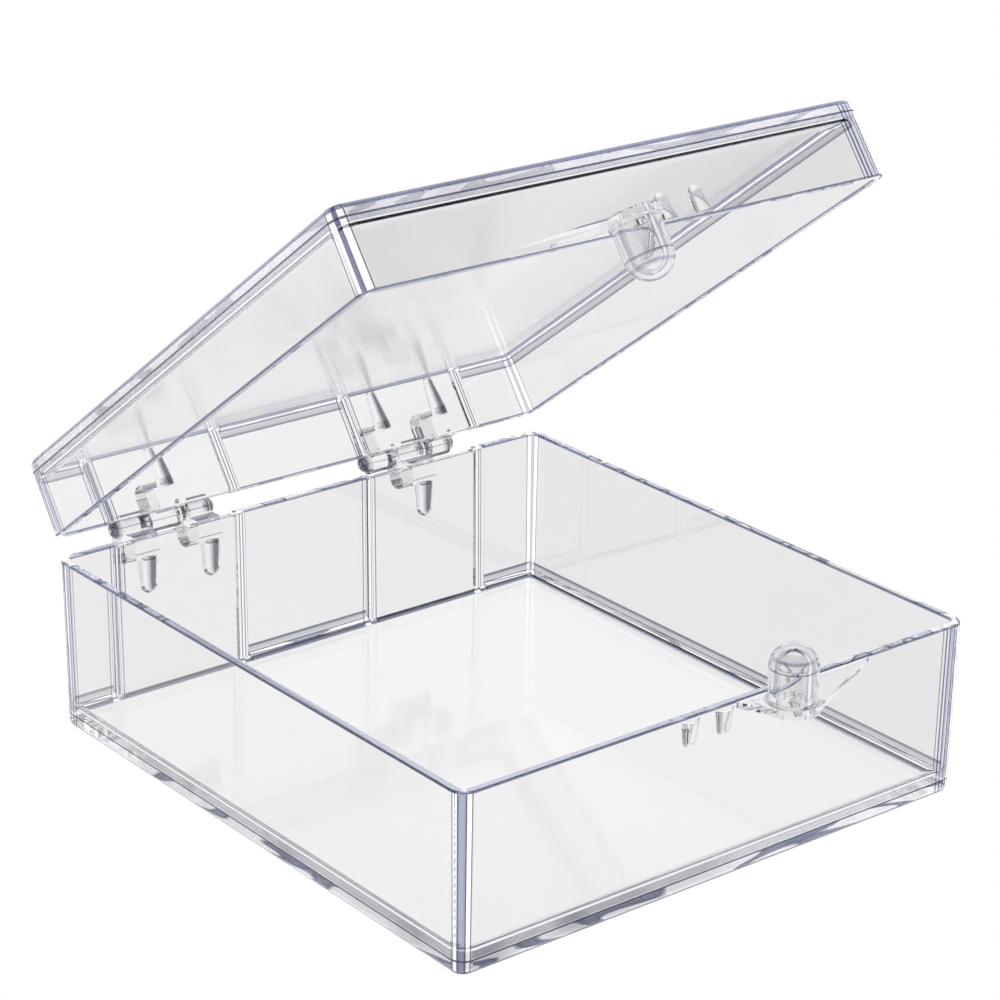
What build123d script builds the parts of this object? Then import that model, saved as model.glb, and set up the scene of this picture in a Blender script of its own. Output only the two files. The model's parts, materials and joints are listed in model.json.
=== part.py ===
# A clear moulded storage box: a tray and a lid that snap together at two hinges.
#
# The frame: X runs along the hinge, from left to right, Y from the front, where the catches are,
# to the back, and Z up. The origin is the centre of the tray's flat underside. The lid stands
# open, turned about the hinge from its closed place on the tray.
#
# Both mouldings have the same features, so each is made by the same functions, in a frame of its
# own. That frame lies in the parting plane, where the rims meet, and its Z points away from the
# other moulding: up into the lid, down into the tray. The tray's frame is the lid's, turned over
# about Y, so a fork on one moulding faces a tongue on the other, and a knob faces two lugs.
import os
from math import cos, radians, sin, tan

from build123d import *

os.makedirs("parts", exist_ok=True)

# The box, in millimetres
box_width = 100.0
box_depth = 107.0
tray_height = 29.6
lid_height = 13.6
rim_gap = 0.2
corner_radius = 2.7
opening_angle = 37.0
draft_angle = 0.75

# The walls and panels
wall = 1.5
floor_thickness = 2.8
roof_thickness = 2.5
tray_edge_radius = 1.4
lid_edge_radius = 1.7
inner_corner_radius = 1.2
floor_fillet = 2.2
roof_fillet = 2.0
rim_rounding = 0.35
root_depth = 0.5
overrun = 1.0

# The hinge zones, where the back wall steps in and carries the hinge
hinge_shift = 1.4
hinge_offset = 4.0
zone_inset = 13.1
zone_width = 22.8
zone_step = 0.8
zone_rounding = 0.6

# The hinge
knuckle_radius = 2.0
tongue_width = 5.0
tongue_barrel = 5.8
barrel_gap = 0.3
fork_spread = 12.4
fork_arm_width = 4.6
fork_reach = 10.1
fork_barrel_radius = 1.7
pin_radius = 1.0
pin_length = 1.7
pin_clearance = 0.05
pin_end_gap = 0.3
arm_drop = 4.0
rib_radius = 2.3
tray_rib_length = 10.0
tray_rib_tip = 1.65
lid_rib_length = 11.2
lid_rib_tip = 1.2

# The catches
catch_spacing = 13.0
catch_shift = 2.1
knob_radius = 3.8
knob_length = 8.8
knob_foot = 0.5
knob_wall = 1.5
knob_gap = 0.5
ledge_rise = 0.2
collar_thickness = 1.4
collar_margin = 0.6
web_thickness = 1.0
web_long = 21.0
web_short = 7.5
lug_spacing = 6.7
lug_radius = 1.8
lug_tip = 1.4
lug_length = 4.5
lug_start = 0.5

# Places that follow from the sizes
rim_rise = rim_gap / 2
hinge_spacing = box_width - zone_width - 2 * zone_inset
hinge_y = box_depth / 2 + hinge_offset
zone_y = box_depth / 2 - zone_step
front_y = -box_depth / 2
knob_y = front_y - knob_gap - knob_radius
draft = tan(radians(draft_angle))
opening = radians(opening_angle)

tray_frame = Plane(origin=(0, 0, tray_height), x_dir=(-1, 0, 0), z_dir=(0, 0, -1))
lid_frame = Plane(
    origin=(0, hinge_y - hinge_y * cos(opening), tray_height + hinge_y * sin(opening)),
    x_dir=(1, 0, 0),
    z_dir=(0, sin(opening), cos(opening)),
)


def side_plane(frame, x):
    """A plane across the box at x, with the frame's Y and Z as its own X and Y."""
    return Plane(frame.from_local_coords((x, 0, 0)), x_dir=frame.y_dir, z_dir=frame.x_dir)


def front_plane(frame, x, y):
    """A plane along the box at y, with the frame's X and Z as its own X and Y."""
    return Plane(frame.from_local_coords((x, y, 0)), x_dir=frame.x_dir, z_dir=-frame.y_dir)


def shell(frame, height, panel, edge_radius, inner_fillet):
    """Four drafted walls and a flat panel, rounded where the walls turn into the panel."""
    up = Axis(frame.origin, frame.z_dir)
    with BuildSketch(frame.offset(rim_rise)) as outside:
        RectangleRounded(box_width, box_depth, corner_radius)
    extrude(outside.sketch, amount=height - rim_rise, taper=draft_angle)
    fillet(edges().group_by(up)[-1], edge_radius)
    with BuildSketch(frame.offset(rim_rise)) as inside:
        RectangleRounded(box_width - 2 * wall, box_depth - 2 * wall, inner_corner_radius)
    cavity_depth = height - panel - rim_rise
    extrude(inside.sketch, amount=cavity_depth, taper=draft_angle, mode=Mode.SUBTRACT)
    fillet(edges(Select.LAST).group_by(up)[-1], inner_fillet)


def hinge_zone(frame, x, height, panel, edge_radius):
    """The back wall steps in over the hinge's width, inside and outside alike."""
    step_top = height - edge_radius
    with BuildSketch(side_plane(frame, x)) as recess:
        with BuildLine():
            Polyline(
                (zone_y + rim_rise * draft, 0),
                (zone_y - (step_top - rim_rise) * draft, step_top),
                (box_depth / 2 + overrun, step_top),
                (box_depth / 2 + overrun, 0),
                close=True,
            )
        make_face()
    extrude(recess.sketch, amount=zone_width / 2, both=True, mode=Mode.SUBTRACT)
    pad_y = zone_y - wall
    pad_top = height - panel + root_depth
    pad_lean = (pad_top - rim_rise) * draft
    with BuildSketch(side_plane(frame, x)) as pad:
        with BuildLine():
            Polyline(
                (pad_y, rim_rise),
                (pad_y - pad_lean, pad_top),
                (pad_y - pad_lean + zone_step + root_depth, pad_top),
                (pad_y + zone_step + root_depth, rim_rise),
                close=True,
            )
        make_face()
    extrude(pad.sketch, amount=zone_width / 2 + wall, both=True)
    across = Axis(frame.origin, frame.x_dir)
    inward_first = Axis(frame.origin, frame.y_dir)
    sides = edges(Select.LAST).filter_by(across, reverse=True).sort_by(inward_first)
    fillet(sides[:2], zone_rounding)


def half_bullet(frame, x, y, outward, start, length, base_radius, tip_radius):
    """A rib on the wall at y: half a tapered bar with a round end. outward is 1 or -1 along Y."""
    plane = front_plane(frame, x, y)
    shoulder = start + length - tip_radius
    with BuildSketch(plane) as profile:
        with BuildLine():
            Polyline((0, start), (base_radius, start), (tip_radius, shoulder))
            CenterArc((0, shoulder), tip_radius, 0, 90)
            Line((0, shoulder + tip_radius), (0, start))
        make_face()
    outward_turn = Axis(plane.origin, outward * frame.z_dir)
    revolve(profile.sketch, axis=outward_turn, revolution_arc=180)


def hinge_arm(frame, x, width, rib_length, rib_tip):
    """The arm that carries a barrel out from the wall, and the rib that stiffens it."""
    wall_y = zone_y - root_depth
    with BuildSketch(side_plane(frame, x)) as profile:
        with Locations((hinge_y, arm_drop / 2)):
            SlotCenterToCenter(arm_drop, 2 * knuckle_radius, rotation=90)
        with Locations(((wall_y + hinge_y) / 2, (rim_rise + arm_drop) / 2)):
            Rectangle(hinge_y - wall_y, arm_drop - rim_rise)
    extrude(profile.sketch, amount=width / 2, both=True)
    half_bullet(frame, x, wall_y, 1, rim_rise, rib_length, rib_radius, rib_tip)


def hinge_line(frame):
    """The line that the lid turns about."""
    return Axis(frame.from_local_coords((0, hinge_y, 0)), frame.x_dir)


def hinge_tongue(frame, x, rib_length, rib_tip):
    """One arm with a barrel between the fork's barrels, and a round-ended pin on each side."""
    hinge_arm(frame, x, tongue_width, rib_length, rib_tip)
    pin_span = tongue_barrel + 2 * pin_length
    with BuildSketch(front_plane(frame, x, hinge_y)) as barrel:
        Rectangle(tongue_barrel, 2 * knuckle_radius)
        SlotOverall(pin_span, 2 * pin_radius)
        with Locations((0, -knuckle_radius)):
            Rectangle(pin_span, 2 * knuckle_radius, mode=Mode.SUBTRACT)
    revolve(barrel.sketch, axis=hinge_line(frame))


def hinge_fork(frame, x, rib_length, rib_tip):
    """Two arms, each with a barrel that is round at its outer end and takes a pin at its inner."""
    barrel_start = tongue_barrel / 2 + barrel_gap
    barrel_straight = fork_reach - fork_barrel_radius - barrel_start
    bore_depth = pin_length - barrel_gap + pin_end_gap
    for side in (-1, 1):
        hinge_arm(frame, x + side * fork_spread / 2, fork_arm_width, rib_length, rib_tip)
        with BuildSketch(front_plane(frame, x, hinge_y)) as barrel:
            with Locations((side * (barrel_start + barrel_straight / 2), 0)):
                Rectangle(barrel_straight, 2 * fork_barrel_radius)
            with Locations((side * (fork_reach - fork_barrel_radius), 0)):
                Circle(fork_barrel_radius)
            with Locations((0, -fork_barrel_radius)):
                Rectangle(2 * fork_reach, 2 * fork_barrel_radius, mode=Mode.SUBTRACT)
        revolve(barrel.sketch, axis=hinge_line(frame))
        with BuildSketch(side_plane(frame, x + side * barrel_start)) as bore:
            with Locations((hinge_y, 0)):
                Circle(pin_radius + pin_clearance)
        extrude(bore.sketch, amount=side * bore_depth, mode=Mode.SUBTRACT)


def catch_knob(frame, x):
    """A round-ended hollow knob that hangs past the parting plane from a collar on the front wall."""
    collar_radius = knob_radius + collar_margin
    for thickness, left, right in (
        (web_thickness, web_long, web_short),
        (collar_thickness, collar_radius, collar_radius),
    ):
        with BuildSketch(frame.offset(rim_rise + ledge_rise)) as plan:
            with BuildLine():
                CenterArc((x, knob_y), collar_radius, 0, 360)
                Line((x - left, front_y + root_depth), (x + right, front_y + root_depth))
            make_hull()
        extrude(plan.sketch, amount=thickness)
    plane = front_plane(frame, x, knob_y)
    ledge = rim_rise + ledge_rise
    foot_radius = knob_radius + knob_foot
    shoulder = knob_radius - knob_length
    with BuildSketch(plane) as profile:
        with BuildLine():
            Polyline((0, ledge + root_depth), (foot_radius, ledge + root_depth), (foot_radius, ledge))
            CenterArc((foot_radius, ledge - knob_foot), knob_foot, 90, 90)
            Line((knob_radius, ledge - knob_foot), (knob_radius, shoulder))
            CenterArc((0, shoulder), knob_radius, 0, -90)
            Line((0, -knob_length), (0, ledge + root_depth))
        make_face()
    up = Axis(plane.origin, frame.z_dir)
    revolve(profile.sketch, axis=up)
    core_radius = knob_radius - knob_wall
    core_top = ledge + collar_thickness + overrun
    with BuildSketch(plane) as core:
        with BuildLine():
            Polyline((0, core_top), (core_radius, core_top), (core_radius, shoulder))
            CenterArc((0, shoulder), core_radius, 0, -90)
            Line((0, shoulder - core_radius), (0, core_top))
        make_face()
    revolve(core.sketch, axis=up, mode=Mode.SUBTRACT)


def catch_lugs(frame, x):
    """Two small round lugs on the front wall that the other moulding's knob drops between."""
    for side in (-1, 1):
        half_bullet(
            frame, x + side * lug_spacing / 2, front_y + root_depth, -1,
            rim_rise + lug_start, lug_length, lug_radius, lug_tip,
        )


def moulding(frame, height, panel, edge_radius, inner_fillet, rib_length, rib_tip):
    """One whole half of the box: shell, hinge zones, hinge parts and catch parts."""
    shell(frame, height, panel, edge_radius, inner_fillet)
    hinge_middle = -hinge_shift * frame.x_dir.X
    tongue_x = hinge_middle - hinge_spacing / 2
    fork_x = hinge_middle + hinge_spacing / 2
    for x in (tongue_x, fork_x):
        hinge_zone(frame, x, height, panel, edge_radius)
    rim = edges().group_by(Axis(frame.origin, frame.z_dir))[0]
    fillet(rim, rim_rounding)
    hinge_tongue(frame, tongue_x, rib_length, rib_tip)
    hinge_fork(frame, fork_x, rib_length, rib_tip)
    catch_middle = catch_shift * frame.x_dir.X
    catch_knob(frame, catch_middle - catch_spacing / 2)
    catch_lugs(frame, catch_middle + catch_spacing / 2)


# The tray
with BuildPart() as tray:
    moulding(
        tray_frame, tray_height, floor_thickness, tray_edge_radius, floor_fillet,
        tray_rib_length, tray_rib_tip,
    )
tray.part.label = "tray"
export_step(tray.part, "parts/tray.step")

# The lid
with BuildPart() as lid:
    moulding(
        lid_frame, lid_height, roof_thickness, lid_edge_radius, roof_fillet,
        lid_rib_length, lid_rib_tip,
    )
lid.part.label = "lid"
export_step(lid.part, "parts/lid.step")
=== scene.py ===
# %% [markdown]
# # A clear hinged storage box
#
# The box is two mouldings in crystal-clear plastic: a tray, and a shallow lid that stands open on
# its hinges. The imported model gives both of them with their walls, ribs, hinge barrels and catch
# knobs, at their real sizes in metres. This lesson adds what the model lacks: the plastic itself,
# the light that draws its edges, and the camera.

# %% Load the model
import json
import math

import bpy
from mathutils import Matrix, Vector


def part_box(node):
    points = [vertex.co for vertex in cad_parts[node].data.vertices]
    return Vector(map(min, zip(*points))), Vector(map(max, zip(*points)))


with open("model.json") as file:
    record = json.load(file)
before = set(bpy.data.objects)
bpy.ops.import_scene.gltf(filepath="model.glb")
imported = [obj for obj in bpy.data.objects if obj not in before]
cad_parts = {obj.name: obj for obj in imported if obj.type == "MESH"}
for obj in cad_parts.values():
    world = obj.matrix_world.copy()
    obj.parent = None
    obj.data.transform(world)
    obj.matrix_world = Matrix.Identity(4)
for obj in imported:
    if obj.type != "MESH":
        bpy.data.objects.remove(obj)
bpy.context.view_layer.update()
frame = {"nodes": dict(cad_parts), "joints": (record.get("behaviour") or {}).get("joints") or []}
scene = bpy.context.scene

# %% [markdown]
# ## Colours
#
# Colours are written here as the sRGB hex values that a paint program shows. A shader works in
# linear light, so typing such a value into it directly would come out too pale. One function turns
# each hex value into linear numbers.


# %% A hex colour to linear light
def linear(hex_colour, alpha=1.0):
    """The linear red, green, blue and alpha of an sRGB hex colour."""
    channels = []
    for start in (1, 3, 5):
        value = int(hex_colour[start:start + 2], 16) / 255
        channels.append(value / 12.92 if value <= 0.04045 else ((value + 0.055) / 1.055) ** 2.4)
    return (*channels, alpha)


print("mid grey in linear light", round(linear("#808080")[0], 3))

# %% [markdown]
# ## Adding nodes
#
# A material is a small net of nodes. It could be clicked together in the shader editor, but in
# code each node takes a line or two: its kind, what its sockets hold, and its settings. The same
# helper serves every kind, so there is only one thing to learn.


# %% One helper that adds a node
def add_node(tree, kind, sockets=None, stops=None, **settings):
    """Adds a node. Each socket gets a number, a hex colour, or the output or node that feeds it."""
    node = tree.nodes.new(kind)
    for name, value in settings.items():
        setattr(node, name, value)
    for socket, value in (sockets or {}).items():
        if isinstance(value, bpy.types.Node):
            value = value.outputs[0]
        if isinstance(value, bpy.types.NodeSocket):
            tree.links.new(value, node.inputs[socket])
        else:
            node.inputs[socket].default_value = linear(value) if isinstance(value, str) else value
    if stops:
        while len(node.color_ramp.elements) < len(stops):
            node.color_ramp.elements.new(1.0)
        for element, (position, colour, alpha) in zip(node.color_ramp.elements, stops):
            element.position = position
            element.color = linear(colour, alpha)
    return node


# %% [markdown]
# ## Where the lid's own axes lie
#
# The lid stands open, so its walls lean. The finish below goes by height, by the way that a face
# looks, and by nearness to a corner, and those are simple to say only for the closed box. The
# joint's lower limit tells how far the lid is from closed at rest, so one turn about the hinge line
# brings any point of the lid to its closed place.

# %% The turn that closes the lid
hinge = frame["joints"][0]
hinge_line = Vector(hinge["pos_m"])
opening = math.radians(-hinge["range_deg"][0])
to_hinge = Matrix.Translation(hinge_line)
closing = to_hinge @ Matrix.Rotation(opening, 4, "X") @ to_hinge.inverted()
lid_top = max((closing @ vertex.co).z for vertex in frame["nodes"]["lid"].data.vertices)
print("the lid is open by", round(math.degrees(opening), 1), "degrees")
print("the closed box is", round(1000 * lid_top, 2), "mm high")

# %% [markdown]
# ## What a clear moulding shows
#
# The real thing is clear acrylic, injection moulded against polished steel, glossy inside and out.
# The eye hardly sees its flat walls. It sees its edges: wherever the plastic turns, light is
# trapped and comes out elsewhere, so each rounded strip shows as fine parallel lines, white beside
# dark, and violet-grey where the light has come a long way.
#
# Refraction alone gives such lines in a render too, but only as crisp as the few light paths that
# get out. So the lines are also painted into the surface's colour as light and shade: the white
# lines are painted highlights, the dark and violet-grey ones painted shade. Each lies where the real
# one lies: by the place on the object and the way that the face looks, never by reading where the
# camera stands.
#
# A material can read the point that it shades and the direction of the face there. Simple sums on
# those six numbers tell which strip the point is on and how far across it. They go into one table,
# one row for each step: a name, the operation of a Math node, and its values, which are numbers or
# names of rows above. Masks come out as 1 in their place and 0 elsewhere.
#
# The next cells fill that table strip by strip, and give each strip its painted lines of light and
# shade. A line is a place across the strip, from 0 to 1, a colour, and how much of the colour there is.

# %% An empty table of places
PLACES = []
print(len(PLACES), "sums so far")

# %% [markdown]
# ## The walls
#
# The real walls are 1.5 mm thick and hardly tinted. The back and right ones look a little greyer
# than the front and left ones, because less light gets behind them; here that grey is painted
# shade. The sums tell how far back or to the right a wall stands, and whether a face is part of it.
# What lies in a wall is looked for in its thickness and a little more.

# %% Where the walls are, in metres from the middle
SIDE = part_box("tray")[1].x
BACK = 0.0535
WALL = 0.0017
WALL_SKIN = 0.001
HALF = 0.5
PLACES += [
    ("across", "ABSOLUTE", "x"),
    ("along", "ABSOLUTE", "y"),
    ("level", "ABSOLUTE", "face z"),
    ("sideways", "ABSOLUTE", "face x"),
    ("facing back", "ABSOLUTE", "face y"),
    ("backward", "MULTIPLY_ADD", "y", HALF / BACK, HALF),
    ("back wall", "MULTIPLY", "backward", "facing back"),
    ("rightward", "MULTIPLY_ADD", "x", HALF / SIDE, HALF),
    ("right wall", "MULTIPLY", "rightward", "sideways"),
    ("at front", "LESS_THAN", "y", 0.0),
    ("at back", "SUBTRACT", 1.0, "at front"),
    ("at right", "GREATER_THAN", "x", 0.0),
    ("at left", "SUBTRACT", 1.0, "at right"),
]
print("the walls are at", round(1000 * SIDE, 1), "and", round(1000 * BACK, 1), "mm from the middle")

# %% [markdown]
# ## The floor, the roof and their outer edges
#
# The floor and the roof are panels nearly 3 mm thick. From the side, a panel's outer edge is a
# bright band between dark lines; both are painted here, a painted highlight between lines of painted
# shade. Depth is measured from the panel's outer face inward, so the same rows serve the tray, whose
# panel is at the bottom, and the lid, whose panel is at the top.

# %% Sums that find the panel and the band around it
FLAT_FACE = 0.98
PLACES += [
    ("drop", "SUBTRACT", "panel z", "z"),
    ("depth", "MULTIPLY", "drop", "panel up"),
    ("in panel", "LESS_THAN", "depth", "panel depth"),
    ("flat", "GREATER_THAN", "level", FLAT_FACE),
    ("panel", "MULTIPLY", "in panel", "flat"),
    ("band", "SUBTRACT", "in panel", "panel"),
    ("band height", "DIVIDE", "depth", "panel depth"),
]
print(len(PLACES), "sums so far")

# %% Lines around the tray's floor, from the underside up
TRAY_BAND_LINES = [
    (0.00, "#1c2034", 1.0), (0.27, "#2c3146", 1.0), (0.32, "#ffffff", 1.0), (0.84, "#ffffff", 1.0),
    (0.87, "#181c30", 1.0), (0.93, "#181c30", 1.0), (0.96, "#ffffff", 1.0),
]
print("tray band", len(TRAY_BAND_LINES), "stops")

# %% Lines around the lid's roof, from the top down
LID_BAND_LINES = [
    (0.00, "#1c2034", 1.0), (0.10, "#1c2034", 1.0), (0.14, "#7f86b6", 1.0), (0.34, "#7f86b6", 1.0),
    (0.38, "#2a2f4c", 1.0), (0.44, "#ffffff", 1.0), (0.84, "#ffffff", 1.0), (0.88, "#3a3f5c", 1.0),
    (0.96, "#3a3f5c", 1.0), (1.00, "#ffffff", 1.0),
]
print("lid band", len(LID_BAND_LINES), "stops")

# %% [markdown]
# ## The fillets inside
#
# Where a wall meets the floor or the roof, a rounded fillet runs along the inside and splits the
# light into several lines, which are painted here: white painted highlights and grey and dark lines
# of painted shade. How far a face leans tells how far along the fillet's curve it is: an upright
# face is at its start, a level one at its end.

# %% Sums that find the fillets
FILLET_MIDDLE = 0.00375
FILLET_REACH = 0.0015
QUARTER_TURN = math.pi / 2
PLACES += [
    ("inward", "MULTIPLY", "face z", "panel down"),
    ("slope", "ARCSINE", "inward"),
    ("fillet turn", "MULTIPLY", "slope", 1 / QUARTER_TURN),
    ("fillet height", "COMPARE", "depth", FILLET_MIDDLE, FILLET_REACH),
    ("inside x", "LESS_THAN", "across", SIDE - WALL_SKIN),
    ("inside y", "LESS_THAN", "along", BACK - WALL_SKIN),
    ("inside", "MULTIPLY", "inside x", "inside y"),
    ("fillet", "MULTIPLY", "fillet height", "inside"),
]
print(len(PLACES), "sums so far")

# %% Lines along a fillet, from the wall to the floor or roof
TRAY_FILLET_LINES = [
    (0.02, "#3c404c", 0.0), (0.05, "#3c404c", 1.0), (0.12, "#4c505c", 1.0), (0.16, "#a4a7b0", 1.0),
    (0.38, "#c4c6cc", 1.0), (0.44, "#ffffff", 1.0), (0.60, "#ffffff", 1.0), (0.64, "#3c404c", 1.0),
    (0.70, "#3c404c", 1.0), (0.74, "#ffffff", 1.0), (0.86, "#ffffff", 1.0), (0.92, "#d8dade", 1.0),
    (0.98, "#e6e7ea", 0.0),
]
LID_FILLET_LINES = [
    (0.02, "#5c606c", 0.0), (0.05, "#5c606c", 1.0), (0.11, "#6c707c", 1.0), (0.15, "#a4a7b0", 1.0),
    (0.50, "#c0c2c8", 1.0), (0.56, "#ffffff", 1.0), (0.62, "#ffffff", 1.0), (0.66, "#4c505c", 1.0),
    (0.71, "#e0e1e4", 1.0), (0.86, "#f0f0f2", 1.0), (0.92, "#d8dade", 1.0), (0.98, "#e6e7ea", 0.0),
]
print("fillets", len(TRAY_FILLET_LINES), len(LID_FILLET_LINES), "stops")

# %% [markdown]
# ## The upright corners
#
# A corner is rounded, outside with a radius of 2.7 mm, so it works as a thin lens that stands on
# end: a dark core with white beside it, painted here as a dark violet-grey core of painted shade
# with painted highlights beside it. The two arms of a point, from the centre of the curve across and
# along the box, tell how far round it the point is. Twice their product, divided by the square of
# their reach, is 0 where the curve meets a wall and 1 in its middle, at any height. The face
# direction could tell it too, but it changes in steps from facet to facet.

# %% Sums that find the corners, on their outer face
CORNER_RADIUS = 0.0027
CORNER_SKIN = 0.0017
PLACES += [
    ("past centre x", "SUBTRACT", "across", SIDE - CORNER_RADIUS),
    ("past centre y", "SUBTRACT", "along", BACK - CORNER_RADIUS),
    ("arm x", "MAXIMUM", "past centre x", 0.0),
    ("arm y", "MAXIMUM", "past centre y", 0.0),
    ("arms", "MULTIPLY", "arm x", "arm y"),
    ("arm x squared", "MULTIPLY", "arm x", "arm x"),
    ("reach squared", "MULTIPLY_ADD", "arm y", "arm y", "arm x squared"),
    ("turned", "DIVIDE", "arms", "reach squared"),
    ("roundness", "MULTIPLY", "turned", 2.0),
    ("reach", "SQRT", "reach squared"),
    ("corner", "GREATER_THAN", "reach", CORNER_SKIN),
    ("front corner", "MULTIPLY", "corner", "at front"),
    ("back corner", "SUBTRACT", "corner", "front corner"),
]
print(len(PLACES), "sums so far")

# %% Lines across a corner, from its two ends to its middle
TRAY_CORNER_LINES = [
    (0.30, "#4c4f5a", 0.0), (0.34, "#4c4f5a", 1.0), (0.46, "#4c4f5a", 1.0), (0.50, "#ffffff", 1.0),
    (0.83, "#ffffff", 1.0), (0.86, "#14182c", 1.0), (0.90, "#1c2240", 1.0), (0.93, "#6a729e", 1.0),
    (1.00, "#868eb6", 1.0),
]
LID_CORNER_LINES = [
    (0.30, "#4c4f5a", 0.0), (0.34, "#4c4f5a", 1.0), (0.46, "#4c4f5a", 1.0), (0.50, "#ffffff", 1.0),
    (0.95, "#ffffff", 1.0), (0.97, "#4a4e72", 1.0), (1.00, "#565c86", 1.0),
]
BACK_CORNER_LINES = [
    (0.30, "#6c6f78", 0.0), (0.34, "#6c6f78", 1.0), (0.46, "#6c6f78", 1.0), (0.50, "#ffffff", 1.0),
    (0.94, "#ffffff", 1.0), (0.96, "#9ca1ba", 1.0), (1.00, "#b8bccf", 1.0),
]
print("corners", len(TRAY_CORNER_LINES), len(LID_CORNER_LINES), len(BACK_CORNER_LINES), "stops")

# %% [markdown]
# ## The ends of two walls
#
# At the right end of the front wall, and at the back end of the left wall, the thickness of the
# next wall lies right behind the face. It shows through as a strip of violet and white lines, a
# little wider than that wall, painted here: dark and violet lines of painted shade between white
# painted highlights.

# %% Sums that find the wall ends, and how far a point is along them towards the corner
STRIP_WIDTH = 0.0018
SQUARE_ON = -0.9
PLACES += [
    ("looks front", "LESS_THAN", "face y", SQUARE_ON),
    ("looks left", "LESS_THAN", "face x", SQUARE_ON),
    ("front right", "MULTIPLY", "at front", "at right"),
    ("back left", "MULTIPLY", "at back", "at left"),
    ("front strip", "MULTIPLY", "front right", "looks front"),
    ("left strip", "MULTIPLY", "back left", "looks left"),
    ("strip", "ADD", "front strip", "left strip"),
    ("past front", "MULTIPLY", "front strip", "past centre x"),
    ("past either", "MULTIPLY_ADD", "left strip", "past centre y", "past front"),
    ("strip turn", "MULTIPLY_ADD", "past either", 1 / STRIP_WIDTH, 1.0),
]
print(len(PLACES), "sums so far")

# %% Lines down a wall end, from the wall to the corner
STRIP_LINES = [
    (0.00, "#2e3348", 0.0), (0.04, "#2e3348", 1.0), (0.12, "#2e3348", 1.0), (0.17, "#ffffff", 1.0),
    (0.36, "#ffffff", 1.0), (0.41, "#8a92be", 1.0), (0.58, "#6a729e", 1.0), (0.63, "#ffffff", 1.0),
    (0.80, "#ffffff", 1.0), (0.86, "#5a618c", 1.0), (0.97, "#8a92be", 1.0), (1.00, "#8a92be", 0.0),
]
print("wall ends", len(STRIP_LINES), "stops")

# %% [markdown]
# ## The hinge seats
#
# Behind each hinge the back wall steps inward, to make room for the hinge's arms. Each upright
# edge of such a seat is a small bend in the wall, and shows as a white line with a dark one at
# either side, painted here as a painted highlight between lines of painted shade. The seats mirror
# each other about a line that is a little left of the middle.

# %% Sums that find the seats' upright edges, on the inside of the back wall
SEAT_MIDDLE = -0.0014
SEAT_SPREAD = 0.0255
SEAT_REACH = 0.01215
SEAT_LINE_ZONE = 0.001
SEAT_FRONT = BACK - 2 * WALL - WALL_SKIN
LOOKS_FORWARD = -0.2
PLACES += [
    ("off middle", "SUBTRACT", "x", SEAT_MIDDLE),
    ("from middle", "ABSOLUTE", "off middle"),
    ("off seat", "SUBTRACT", "from middle", SEAT_SPREAD),
    ("from seat", "ABSOLUTE", "off seat"),
    ("off edge", "SUBTRACT", "from seat", SEAT_REACH),
    ("from edge", "ABSOLUTE", "off edge"),
    ("seat line", "DIVIDE", "from edge", SEAT_LINE_ZONE),
    ("in back wall", "GREATER_THAN", "y", SEAT_FRONT),
    ("looks forward", "LESS_THAN", "face y", LOOKS_FORWARD),
    ("seat", "MULTIPLY", "in back wall", "looks forward"),
]
print(len(PLACES), "sums so far")

# %% Lines beside an upright edge of a seat, from the edge outward
SEAT_LINES = [
    (0.00, "#ffffff", 1.0), (0.58, "#ffffff", 1.0), (0.66, "#4a4e66", 1.0), (0.82, "#4a4e66", 1.0),
    (0.90, "#8c90a6", 0.0),
]
print("seats", len(SEAT_LINES), "stops")

# %% [markdown]
# ## Ribs, lugs and hinge barrels
#
# The pointed ribs, the catch lugs and the hinge barrels stand outside the walls. They are solid and
# round, and a round rod of clear plastic has dark outlines, with white inside them and a grey band
# off its middle. These are painted here: outlines and band of painted shade, white of painted
# highlight. How far a face looks to the left or right tells how far round a rib it is, and how
# far up it looks tells the same for a barrel, which lies flat. The lugs get half as much.

# %% Sums that find the ribs, the lugs and the barrels
RIB_MIDDLE = BACK + 0.003
RIB_REACH = 0.0036
SIDE_CLEARANCE = 0.004
CATCH_MIDDLE = 0.0021
LUG_START = 0.0012
LUG_SHARE = 0.5
BARREL_START = BACK + 0.002
PLACES += [
    ("outside", "COMPARE", "along", RIB_MIDDLE, RIB_REACH),
    ("off side", "LESS_THAN", "across", SIDE - SIDE_CLEARANCE),
    ("out of walls", "MULTIPLY", "outside", "off side"),
    ("off catch", "SUBTRACT", "x", CATCH_MIDDLE),
    ("lugward", "MULTIPLY", "off catch", "panel up"),
    ("by lugs", "GREATER_THAN", "lugward", LUG_START),
    ("lug side", "MULTIPLY", "by lugs", "at front"),
    ("rib or lug", "MULTIPLY_ADD", "lug side", LUG_SHARE, "at back"),
    ("rib", "MULTIPLY", "out of walls", "rib or lug"),
    ("outward", "SIGN", "y"),
    ("leaning", "MULTIPLY", "face x", "outward"),
    ("rib turn", "MULTIPLY_ADD", "leaning", HALF, HALF),
    ("barrel", "GREATER_THAN", "y", BARREL_START),
    ("barrel turn", "MULTIPLY_ADD", "face z", HALF, HALF),
]
print(len(PLACES), "sums so far")

# %% Lines round a rib or a lug, from one side to the other, as seen from inside the box
RIB_LINES = [
    (0.005, "#30343f", 0.0), (0.02, "#30343f", 1.0), (0.24, "#30343f", 1.0), (0.30, "#7f828c", 1.0),
    (0.42, "#c8cad0", 1.0), (0.47, "#c8cad0", 0.0), (0.55, "#ffffff", 0.0), (0.60, "#ffffff", 1.0),
    (0.86, "#ffffff", 1.0), (0.89, "#30343f", 1.0), (0.97, "#30343f", 1.0), (0.995, "#ffffff", 0.0),
]
print("ribs", len(RIB_LINES), "stops")

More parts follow.
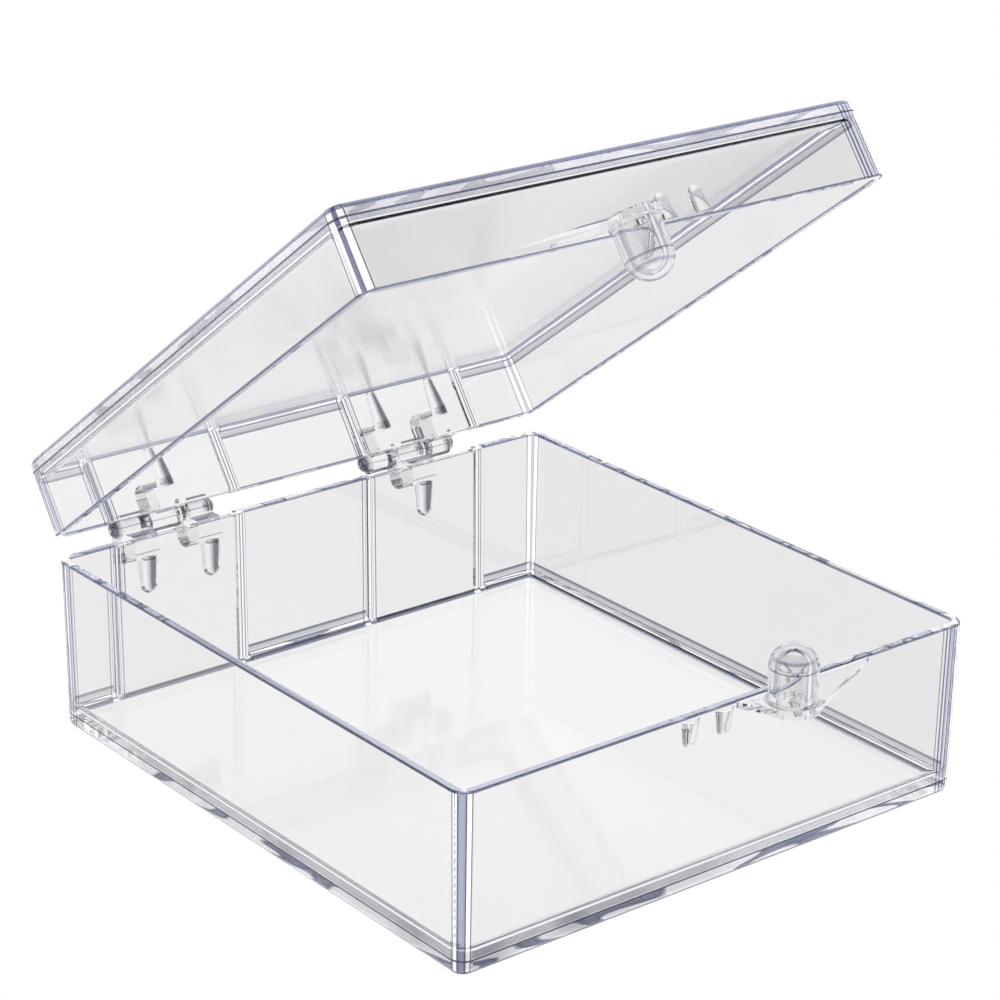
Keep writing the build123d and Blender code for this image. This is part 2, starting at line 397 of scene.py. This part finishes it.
# %% Lines along a barrel, from its lower side to its upper side
BARREL_LINES = [
    (0.00, "#3a3e4c", 1.0), (0.06, "#3a3e4c", 1.0), (0.10, "#ffffff", 1.0), (0.30, "#ffffff", 1.0),
    (0.34, "#7c808c", 1.0), (0.40, "#ffffff", 1.0), (0.66, "#ffffff", 1.0), (0.70, "#50545f", 1.0),
    (0.75, "#ffffff", 1.0), (0.91, "#ffffff", 1.0), (0.95, "#4a4e5c", 1.0), (1.00, "#6a6e7c", 1.0),
]
print("barrels", len(BARREL_LINES), "stops")

# %% [markdown]
# ## The catch knobs
#
# A catch knob is hollow, with a round end, and clear like the rest. It shows a soft grey outline
# and rings up its dome, painted here as painted shade with a painted highlight inside the outline.
# The outline lies where a face looks square across one direction that is fixed on the object: from
# the front left and a little above, the direction in which the camera below stands. The level
# faces of the ledge at the knob's foot stay clear.

# %% Sums that find the knobs, and how far a face looks away from the knob's near side
KNOB_START = BACK + 0.0003
NEAR_SIDE = Vector((-0.583, -0.725, 0.368))
PLACES += [
    ("out front", "LESS_THAN", "y", -KNOB_START),
    ("off lugs", "SUBTRACT", 1.0, "by lugs"),
    ("knob", "MULTIPLY", "out front", "off lugs"),
    ("near x", "MULTIPLY", "face x", "near side x"),
    ("near x and y", "MULTIPLY_ADD", "face y", "near side y", "near x"),
    ("near", "MULTIPLY_ADD", "face z", "near side z", "near x and y"),
    ("knob turn", "ABSOLUTE", "near"),
    ("knob side", "GREATER_THAN", "knob", "flat"),
]
print(len(PLACES), "sums so far")

# %% Lines on a knob, from its outline to its near side, and rings from the foot of its dome up
KNOB_LINES = [
    (0.00, "#a0a4b6", 1.0), (0.20, "#a0a4b6", 1.0), (0.24, "#ffffff", 1.0), (0.30, "#ffffff", 0.0),
]
DOME_LINES = [
    (0.01, "#5c6076", 0.0), (0.03, "#5c6076", 1.0), (0.10, "#5c6076", 1.0), (0.14, "#ffffff", 1.0),
    (0.36, "#ffffff", 1.0), (0.42, "#a6abc0", 1.0), (0.50, "#c4c8d6", 1.0), (0.56, "#ffffff", 1.0),
    (0.90, "#ffffff", 0.0),
]
print("knobs", len(KNOB_LINES), len(DOME_LINES), "stops")

# %% [markdown]
# ## The rims
#
# A rim is the narrow, rounded top of the walls. It gathers the light of the whole wall below it,
# and shows violet, with darker sides; both are painted here as painted shade. On the walls to the
# right and at the back, white patches a few millimetres long break it, where the wall's inside
# catches the light: painted highlights, edged with painted shade. A noise places them.

# %% Sums that find the rims
RIM_HEIGHT = 0.0296
RIM_ROUNDING = 0.00045
RIM_TOP = 0.7
HAIR = 0.0001
PATCH_START = -0.03
PLACES += [
    ("rim height", "COMPARE", "z", RIM_HEIGHT, RIM_ROUNDING),
    ("wall x", "GREATER_THAN", "across", SIDE - WALL),
    ("wall y", "GREATER_THAN", "along", BACK - WALL),
    ("in wall", "MAXIMUM", "wall x", "wall y"),
    ("in box", "LESS_THAN", "along", BACK + HAIR),
    ("rim of wall", "MULTIPLY", "rim height", "in wall"),
    ("rim", "MULTIPLY", "rim of wall", "in box"),
    ("rim top", "GREATER_THAN", "level", RIM_TOP),
    ("top of rim", "MULTIPLY", "rim", "rim top"),
    ("run", "ADD", "x", "y"),
    ("far along", "GREATER_THAN", "run", PATCH_START),
    ("far rim", "MULTIPLY", "top of rim", "far along"),
]
print(len(PLACES), "sums so far")

# %% Lines on the rims, from their sides to their top, and the white patches that break them
RIM_LINES = [
    (0.00, "#ffffff", 0.0), (0.10, "#484d6c", 1.0), (0.70, "#484d6c", 1.0), (0.90, "#a0a6c8", 1.0),
    (1.00, "#adb2d0", 1.0),
]
RIM_PATCHES = [
    (0.48, "#ffffff", 1.0), (0.50, "#3a4060", 1.0), (0.53, "#3a4060", 1.0), (0.55, "#3a4060", 0.0),
]
RIM_PATCH_LENGTH = 0.006
print("rims", len(RIM_LINES), len(RIM_PATCHES), "stops")

# %% [markdown]
# ## Shards in the thick edges
#
# Through the outer edges of the floor and roof one looks along the whole panel. They show slanted
# shards, which are the far corners and hinges seen over and over in the panel's two faces. A noise
# drawn out along the edge and leaned over paints them in as painted reflections, dark and
# violet-grey: a shard is 10 to 20 mm long on the real box, and as high as the panel. The side walls
# read another part of the noise.

# %% Sums that lay the noise along an edge, and find the part of the edge that shows it
SHARD_LENGTH = 0.016
SHARD_HEIGHT = 0.0032
SHARD_SLANT = 5.0
SHARD_MIDDLE = 0.59
SHARD_REACH = 0.29
WALL_STEP = 3.0
PLACES += [
    ("band top", "COMPARE", "band height", SHARD_MIDDLE, SHARD_REACH),
    ("leaned run", "MULTIPLY_ADD", "depth", SHARD_SLANT, "run"),
    ("shard run", "DIVIDE", "leaned run", SHARD_LENGTH),
    ("shard height", "DIVIDE", "depth", SHARD_HEIGHT),
    ("shard wall", "MULTIPLY", "face x", WALL_STEP),
]
print(len(PLACES), "sums in all")

# %% The shards' colours, which are painted reflections
SHARD_STOPS = [
    (0.50, "#ffffff", 1.0), (0.52, "#20263e", 1.0), (0.54, "#565e80", 1.0), (0.60, "#6a7190", 1.0),
    (0.62, "#263060", 1.0), (0.64, "#ffffff", 1.0),
]
print("shards", 1000 * SHARD_LENGTH, "mm long")

# %% [markdown]
# ## From the table to nodes
#
# Blender gives the point and the face direction on the object as it stands. Both are turned by the
# lid's opening, so that the rows see the closed box, and the knob's near side is turned with them.
# Then each row becomes one Math node, linked to the rows above that it names.


# %% Every sum as a node
def find_places(tree, turn, panel_z, panel_up, panel_depth):
    """Every row of PLACES as an output, for a moulding that a turn about the hinge line closes."""
    where = add_node(tree, "ShaderNodeTexCoord")
    point = add_node(tree, "ShaderNodeVectorRotate", {
        "Vector": where.outputs["Object"], "Center": hinge_line, "Angle": turn,
    }, rotation_type="X_AXIS")
    facing = add_node(tree, "ShaderNodeVectorRotate", {
        "Vector": where.outputs["Normal"], "Angle": turn,
    }, rotation_type="X_AXIS")
    near_side = Matrix.Rotation(turn, 3, "X") @ NEAR_SIDE
    places = {
        "panel z": panel_z, "panel up": panel_up, "panel down": -panel_up, "panel depth": panel_depth,
        "near side x": near_side.x, "near side y": near_side.y, "near side z": near_side.z,
    }
    for prefix, source in (("", point), ("face ", facing)):
        axes = add_node(tree, "ShaderNodeSeparateXYZ", {"Vector": source})
        for axis in "XYZ":
            places[prefix + axis.lower()] = axes.outputs[axis]
    for name, operation, *values in PLACES:
        sockets = {index: places.get(value, value) for index, value in enumerate(values)}
        places[name] = add_node(tree, "ShaderNodeMath", sockets, operation=operation).outputs[0]
    return places, point


# %% [markdown]
# ## Tinting and painting light and shade
#
# Tints and painted light and shade are laid on one over the other, as glazes are. Where a
# strip's mask is 1 its lines cover what is below, as far as the table's last column says. Some
# multiply what is below instead, so that its lines run on through them: those on the outer edges of
# the floor and roof, on the barrels and on the domes.

# %% Lay one colour over another
FACTOR, BELOW, ABOVE, COLOUR_RESULT = 0, 6, 7, 2


def lay_over(tree, below, above, amount, blend="MIX"):
    """The colour below, with as much of the one above as amount says."""
    sockets = {FACTOR: amount, BELOW: below, ABOVE: above}
    node = add_node(tree, "ShaderNodeMix", sockets, data_type="RGBA", blend_type=blend)
    return node.outputs[COLOUR_RESULT]


def lay_lines(tree, colour, mask, across_strip, lines, blend="MIX"):
    """The colour with one table of lines over it, and how much of them there is at each point."""
    ramp = add_node(tree, "ShaderNodeValToRGB", {"Fac": across_strip}, stops=lines)
    amount = add_node(tree, "ShaderNodeMath", {0: mask, 1: ramp.outputs["Alpha"]}, operation="MULTIPLY")
    return lay_over(tree, colour, ramp.outputs["Color"], amount, blend), amount


# %% The tint of the walls and the panel
def tint_and_shade_faces(tree, places, tints_and_shades):
    """The tint of the flat faces, and painted shade on the back and right walls. The band starts out pure
    white, as its painted lines need.
    """
    panel_tint, front_tint, back_shade, right_shade = tints_and_shades
    # Painted shade: the back and right walls are laid greyer, for the light that does not get behind
    # them.
    colour = lay_over(tree, front_tint, back_shade, places["back wall"])
    colour = lay_over(tree, colour, right_shade, places["right wall"])
    colour = lay_over(tree, colour, panel_tint, places["panel"])
    return lay_over(tree, colour, "#ffffff", places["band"])


# %% The lines of the corners and the wall ends
def draw_corners(tree, colour, places, front_lines):
    """The colour with the corners' lines over it, and how much of them there is at each point."""
    roundness = places["roundness"]
    colour, front = lay_lines(tree, colour, places["front corner"], roundness, front_lines)
    colour, back = lay_lines(tree, colour, places["back corner"], roundness, BACK_CORNER_LINES)
    colour, _ = lay_lines(tree, colour, places["strip"], places["strip turn"], STRIP_LINES)
    corner = add_node(tree, "ShaderNodeMath", {0: front, 1: back}, operation="ADD")
    return colour, corner


# %% The shards, in the band but not on its corners
def draw_shards(tree, colour, places, band, corner, shard_amount):
    """The colour with as much of the shards over it as shard_amount says."""
    spot = add_node(tree, "ShaderNodeCombineXYZ", {
        "X": places["shard run"], "Y": places["shard height"], "Z": places["shard wall"],
    })
    noise = add_node(tree, "ShaderNodeTexNoise", {"Vector": spot, "Scale": 1.0, "Detail": 0.0})
    off_corner = add_node(tree, "ShaderNodeMath", {
        0: places["band top"], 1: corner,
    }, operation="SUBTRACT", use_clamp=True)
    in_band = add_node(tree, "ShaderNodeMath", {0: off_corner, 1: band}, operation="MULTIPLY")
    shards = add_node(tree, "ShaderNodeMath", {0: in_band, 1: shard_amount}, operation="MULTIPLY")
    colour, _ = lay_lines(tree, colour, shards, noise, SHARD_STOPS, "MULTIPLY")
    return colour


# %% The lines of the small parts, in the order in which they are laid
SMALL_PARTS = [
    ("seat", "seat line", SEAT_LINES, "MIX"),
    ("rib", "rib turn", RIB_LINES, "MIX"),
    ("barrel", "barrel turn", BARREL_LINES, "MULTIPLY"),
    ("knob side", "knob turn", KNOB_LINES, "MIX"),
    ("knob", "inward", DOME_LINES, "MULTIPLY"),
    ("rim", "level", RIM_LINES, "MIX"),
]
print(len(SMALL_PARTS), "kinds of small parts")


# %% All the tints of one moulding
def tint_and_paint_light(tree, places, point, tints_and_shades, lines, shard_amount):
    """The tint of the plastic with its painted light and shade, and where its painted lines are."""
    corner_lines, band_lines, fillet_lines = lines
    colour = tint_and_shade_faces(tree, places, tints_and_shades)
    colour, corner = draw_corners(tree, colour, places, corner_lines)
    colour, band = lay_lines(tree, colour, places["band"], places["band height"], band_lines, "MULTIPLY")
    colour = draw_shards(tree, colour, places, band, corner, shard_amount)
    colour, fillet = lay_lines(tree, colour, places["fillet"], places["fillet turn"], fillet_lines)
    for mask, across_strip, strip_lines, blend in SMALL_PARTS:
        colour, _ = lay_lines(tree, colour, places[mask], places[across_strip], strip_lines, blend)
    patches = add_node(tree, "ShaderNodeTexNoise", {
        "Vector": point, "Scale": 1 / RIM_PATCH_LENGTH, "Detail": 0.0,
    })
    colour, _ = lay_lines(tree, colour, places["far rim"], patches, RIM_PATCHES)
    return colour, corner, band, fillet


# %% [markdown]
# ## Light that the edges collect
#
# A sheet of clear acrylic gathers light over its whole face and lets it out at its edges, which
# is why they look brighter than the paper behind them. A path tracer finds few of those long
# paths, so the white lines get a faint glow of their own in their place: most on the corners,
# less on the outer edges of the floor and roof, and least on the fillets.

# %% How much the white lines glow
GLOW = 0.4
CORNER_GLOW = "#ffffff"
BAND_GLOW = "#b4b4b4"
FILLET_GLOW = "#898989"
WHITE_ENOUGH = 0.985


def edge_glow(tree, colour, corner, band, fillet):
    """The colour of the glow, and where the lines are, so that the ripples can leave them out."""
    brightness = add_node(tree, "ShaderNodeRGBToBW", {"Color": colour})
    white = add_node(tree, "ShaderNodeMath", {0: brightness, 1: WHITE_ENOUGH}, operation="GREATER_THAN")
    edges = add_node(tree, "ShaderNodeMath", {0: band, 1: fillet}, operation="MAXIMUM")
    lines = add_node(tree, "ShaderNodeMath", {0: edges, 1: corner}, operation="MAXIMUM")
    shine = add_node(tree, "ShaderNodeMath", {0: white, 1: lines}, operation="MULTIPLY")
    strength = lay_over(tree, FILLET_GLOW, BAND_GLOW, band)
    strength = lay_over(tree, strength, CORNER_GLOW, corner)
    return lay_over(tree, "#000000", strength, shine), lines


# %% [markdown]
# ## Clear acrylic
#
# Acrylic has an index of refraction of 1.49, and off polished steel its roughness is close to
# nothing. A Principled shader with full transmission bends and mirrors the light. A Volume
# Absorption takes a little of it for each millimetre that it travels inside, less of the blue,
# so that thin panels stay clear and long paths turn violet-grey. The floor and the roof are the
# largest faces, and moulded ones are never as true as the steel: a little roughness there keeps
# them from mirroring like glass. The melt also leaves faint ripples some 14 mm long in the walls
# as it flows, two hundredths of a millimetre high.

# %% The plastic of one moulding
ACRYLIC_IOR = 1.49
EDGE_COLOUR = "#a8acc8"
EDGE_DENSITY = 1.5
RIPPLE_LENGTH = 0.014
RIPPLE_HEIGHT = 0.00002
RIPPLE_DETAIL = 1.0
RIPPLE_FINENESS = 0.4


def clear_acrylic(name, turn, panel, roughness, tints_and_shades, lines, shard_amount):
    """Clear acrylic. panel is the height of the floor or roof's outer face, its side and its depth."""
    material = bpy.data.materials.new(name)
    material.use_nodes = True
    tree = material.node_tree
    tree.nodes.clear()
    places, point = find_places(tree, turn, *panel)
    colour, corner, band, fillet = tint_and_paint_light(tree, places, point, tints_and_shades, lines, shard_amount)
    glow, edges = edge_glow(tree, colour, corner, band, fillet)
    marked = add_node(tree, "ShaderNodeMath", {0: edges, 1: places["in panel"]}, operation="MAXIMUM")
    on_walls = add_node(tree, "ShaderNodeMath", {0: 1.0, 1: marked}, operation="SUBTRACT")
    waves = add_node(tree, "ShaderNodeTexNoise", {
        "Vector": point, "Scale": 1 / RIPPLE_LENGTH, "Detail": RIPPLE_DETAIL,
        "Roughness": RIPPLE_FINENESS,
    })
    ripples = add_node(tree, "ShaderNodeBump", {
        "Height": waves, "Distance": RIPPLE_HEIGHT, "Strength": on_walls,
    })
    rough = add_node(tree, "ShaderNodeMath", {0: places["panel"], 1: roughness}, operation="MULTIPLY")
    surface = add_node(tree, "ShaderNodeBsdfPrincipled", {
        "Base Color": colour, "Roughness": rough, "IOR": ACRYLIC_IOR, "Transmission Weight": 1.0,
        "Emission Color": glow, "Emission Strength": GLOW, "Normal": ripples,
    })
    volume = add_node(tree, "ShaderNodeVolumeAbsorption", {"Color": EDGE_COLOUR, "Density": EDGE_DENSITY})
    add_node(tree, "ShaderNodeOutputMaterial", {"Surface": surface, "Volume": volume})
    print(name, len(tree.nodes), "nodes")
    return material


# %% [markdown]
# ## The tray's and the lid's plastic
#
# Both are the same plastic. They differ in which way their panel faces, in how deep it is, and in
# how much light reaches them, which is painted in: the lid leans back, so its walls get lighter
# painted shade and it gets fewer painted shards. The roof is seen along its face, where any sheet
# mirrors most, so its roughness counts for more.

# %% Give both mouldings their plastic
TRAY_PANEL = (0.0, -1, 0.00285)
LID_PANEL = (lid_top, 1, 0.00255)
# The first two tints are the plastic's own; the back and right ones are painted shade.
TRAY_TINTS_AND_SHADES = ("#fafafa", "#f9f9f9", "#ebebec", "#e8e8e9")
LID_TINTS_AND_SHADES = ("#fafafa", "#fcfcfc", "#f4f4f5", "#ececed")
TRAY_LINES = (TRAY_CORNER_LINES, TRAY_BAND_LINES, TRAY_FILLET_LINES)
LID_LINES = (LID_CORNER_LINES, LID_BAND_LINES, LID_FILLET_LINES)
TRAY_ROUGHNESS = 0.08
LID_ROUGHNESS = 0.14
TRAY_SHARDS = 1.0
LID_SHARDS = 0.25
finishes = {
    "tray": clear_acrylic(
        "clear_acrylic_tray", 0.0, TRAY_PANEL, TRAY_ROUGHNESS, TRAY_TINTS_AND_SHADES, TRAY_LINES, TRAY_SHARDS,
    ),
    "lid": clear_acrylic(
        "clear_acrylic_lid", opening, LID_PANEL, LID_ROUGHNESS, LID_TINTS_AND_SHADES, LID_LINES, LID_SHARDS,
    ),
}
for name, node in frame["nodes"].items():
    for slot in node.material_slots:
        slot.material = finishes[name]
    print(name, len(node.data.polygons), "faces")

# %% [markdown]
# ## The paper under the box
#
# Clear things are photographed on a lit white sweep, which is why there is no shadow. A plane that
# gives off its own white light does the same, and is far larger than the view, so that the box
# sees it all around. It lies a fifth of a millimetre under the tray, because two faces in one
# plane would flicker.

# %% A white sweep
SWEEP_HALF = 20.0
SWEEP_HEIGHT = -0.0002
sweep_turns = ((-1, -1), (1, -1), (1, 1), (-1, 1))
corners = [(x * SWEEP_HALF, y * SWEEP_HALF, SWEEP_HEIGHT) for x, y in sweep_turns]
sweep_mesh = bpy.data.meshes.new("white_sweep")
sweep_mesh.from_pydata(corners, [], [(0, 1, 2, 3)])
sweep = bpy.data.objects.new("white_sweep", sweep_mesh)
scene.collection.objects.link(sweep)
lit_paper = bpy.data.materials.new("lit_white_paper")
lit_paper.use_nodes = True
lit_paper.node_tree.nodes.clear()
light = add_node(lit_paper.node_tree, "ShaderNodeEmission", {"Color": "#ffffff", "Strength": 1.0})
add_node(lit_paper.node_tree, "ShaderNodeOutputMaterial", {"Surface": light})
sweep_mesh.materials.append(lit_paper)
print("the sweep is", 2 * SWEEP_HALF, "m wide")

# %% [markdown]
# ## The studio around it
#
# White light from all sides would make clear plastic vanish. A photographer hangs something dark
# where the flat walls don't mirror it but the curved edges do, and each edge gets a dark outline.
# Here it is a dark ring in the sky, from 30 degrees up to nearly 70. The sky's colour is read from
# the sine of the height above the horizon.

# %% A white sky with a dark ring
SKY_STOPS = [
    (0.00, "#ffffff", 1.0), (0.46, "#ffffff", 1.0), (0.52, "#6a6d7a", 1.0), (0.64, "#14161f", 1.0),
    (0.84, "#20222e", 1.0), (0.93, "#ffffff", 1.0),
]
studio = bpy.data.worlds.new("studio")
scene.world = studio
studio.use_nodes = True
tree = studio.node_tree
tree.nodes.clear()
direction = add_node(tree, "ShaderNodeTexCoord")
heights = add_node(tree, "ShaderNodeSeparateXYZ", {"Vector": direction.outputs["Generated"]})
sky = add_node(tree, "ShaderNodeValToRGB", {"Fac": heights.outputs["Z"]}, stops=SKY_STOPS)
background = add_node(tree, "ShaderNodeBackground", {"Color": sky, "Strength": 1.0})
add_node(tree, "ShaderNodeOutputWorld", {"Surface": background})
print("sky with", len(SKY_STOPS), "stops")

# %% [markdown]
# ## The camera
#
# The camera looks down at the near left corner from just under half a metre away. Its place was
# fitted to the corners of the box in the photograph, so the numbers are odd ones. The lens is
# long for so near a view, and so the box's sides hardly converge.

# %% The camera at the photograph's angle
AZIMUTH = math.radians(-38.829)
ELEVATION = math.radians(21.582)
ROLL = math.radians(0.771)
DISTANCE = 0.482712
TARGET = Vector((-0.018766, -0.022381, 0.056171))
SENSOR = 36
LENS = 3.274045 * SENSOR
NEAREST = 0.01
FARTHEST = 100

back = Vector((
    math.sin(AZIMUTH) * math.cos(ELEVATION),
    -math.cos(AZIMUTH) * math.cos(ELEVATION),
    math.sin(ELEVATION),
))
level_right = (-back).cross(Vector((0, 0, 1))).normalized()
level_up = level_right.cross(-back)
right = level_right * math.cos(ROLL) + level_up * math.sin(ROLL)
up = level_up * math.cos(ROLL) - level_right * math.sin(ROLL)
camera_data = bpy.data.cameras.new("camera")
camera_data.sensor_width = SENSOR
camera_data.lens = LENS
camera_data.clip_start = NEAREST
camera_data.clip_end = FARTHEST
camera = bpy.data.objects.new("camera", camera_data)
scene.collection.objects.link(camera)
turn = Matrix((right, up, back)).transposed().to_4x4()
camera.matrix_world = Matrix.Translation(TARGET + back * DISTANCE) @ turn
scene.camera = camera
print("camera", round(DISTANCE, 3), "m away, lens", round(LENS, 1), "mm")

# %% [markdown]
# ## How far light is followed
#
# Light that gets into the edge of a panel meets its faces dozens of times before it gets out. With
# the usual dozen bounces all the edges would turn black, so light is followed for longer. The
# plain view transform keeps white paper white.

# %% Render settings that belong to the look
BOUNCES = 40
CLEAR_LAYERS = 16
scene.view_settings.view_transform = "Standard"
scene.view_settings.look = "None"
scene.cycles.max_bounces = BOUNCES
scene.cycles.transmission_bounces = BOUNCES
scene.cycles.glossy_bounces = BOUNCES
scene.cycles.transparent_max_bounces = CLEAR_LAYERS
scene.cycles.caustics_reflective = True
scene.cycles.caustics_refractive = True
print("light is followed for", BOUNCES, "bounces")
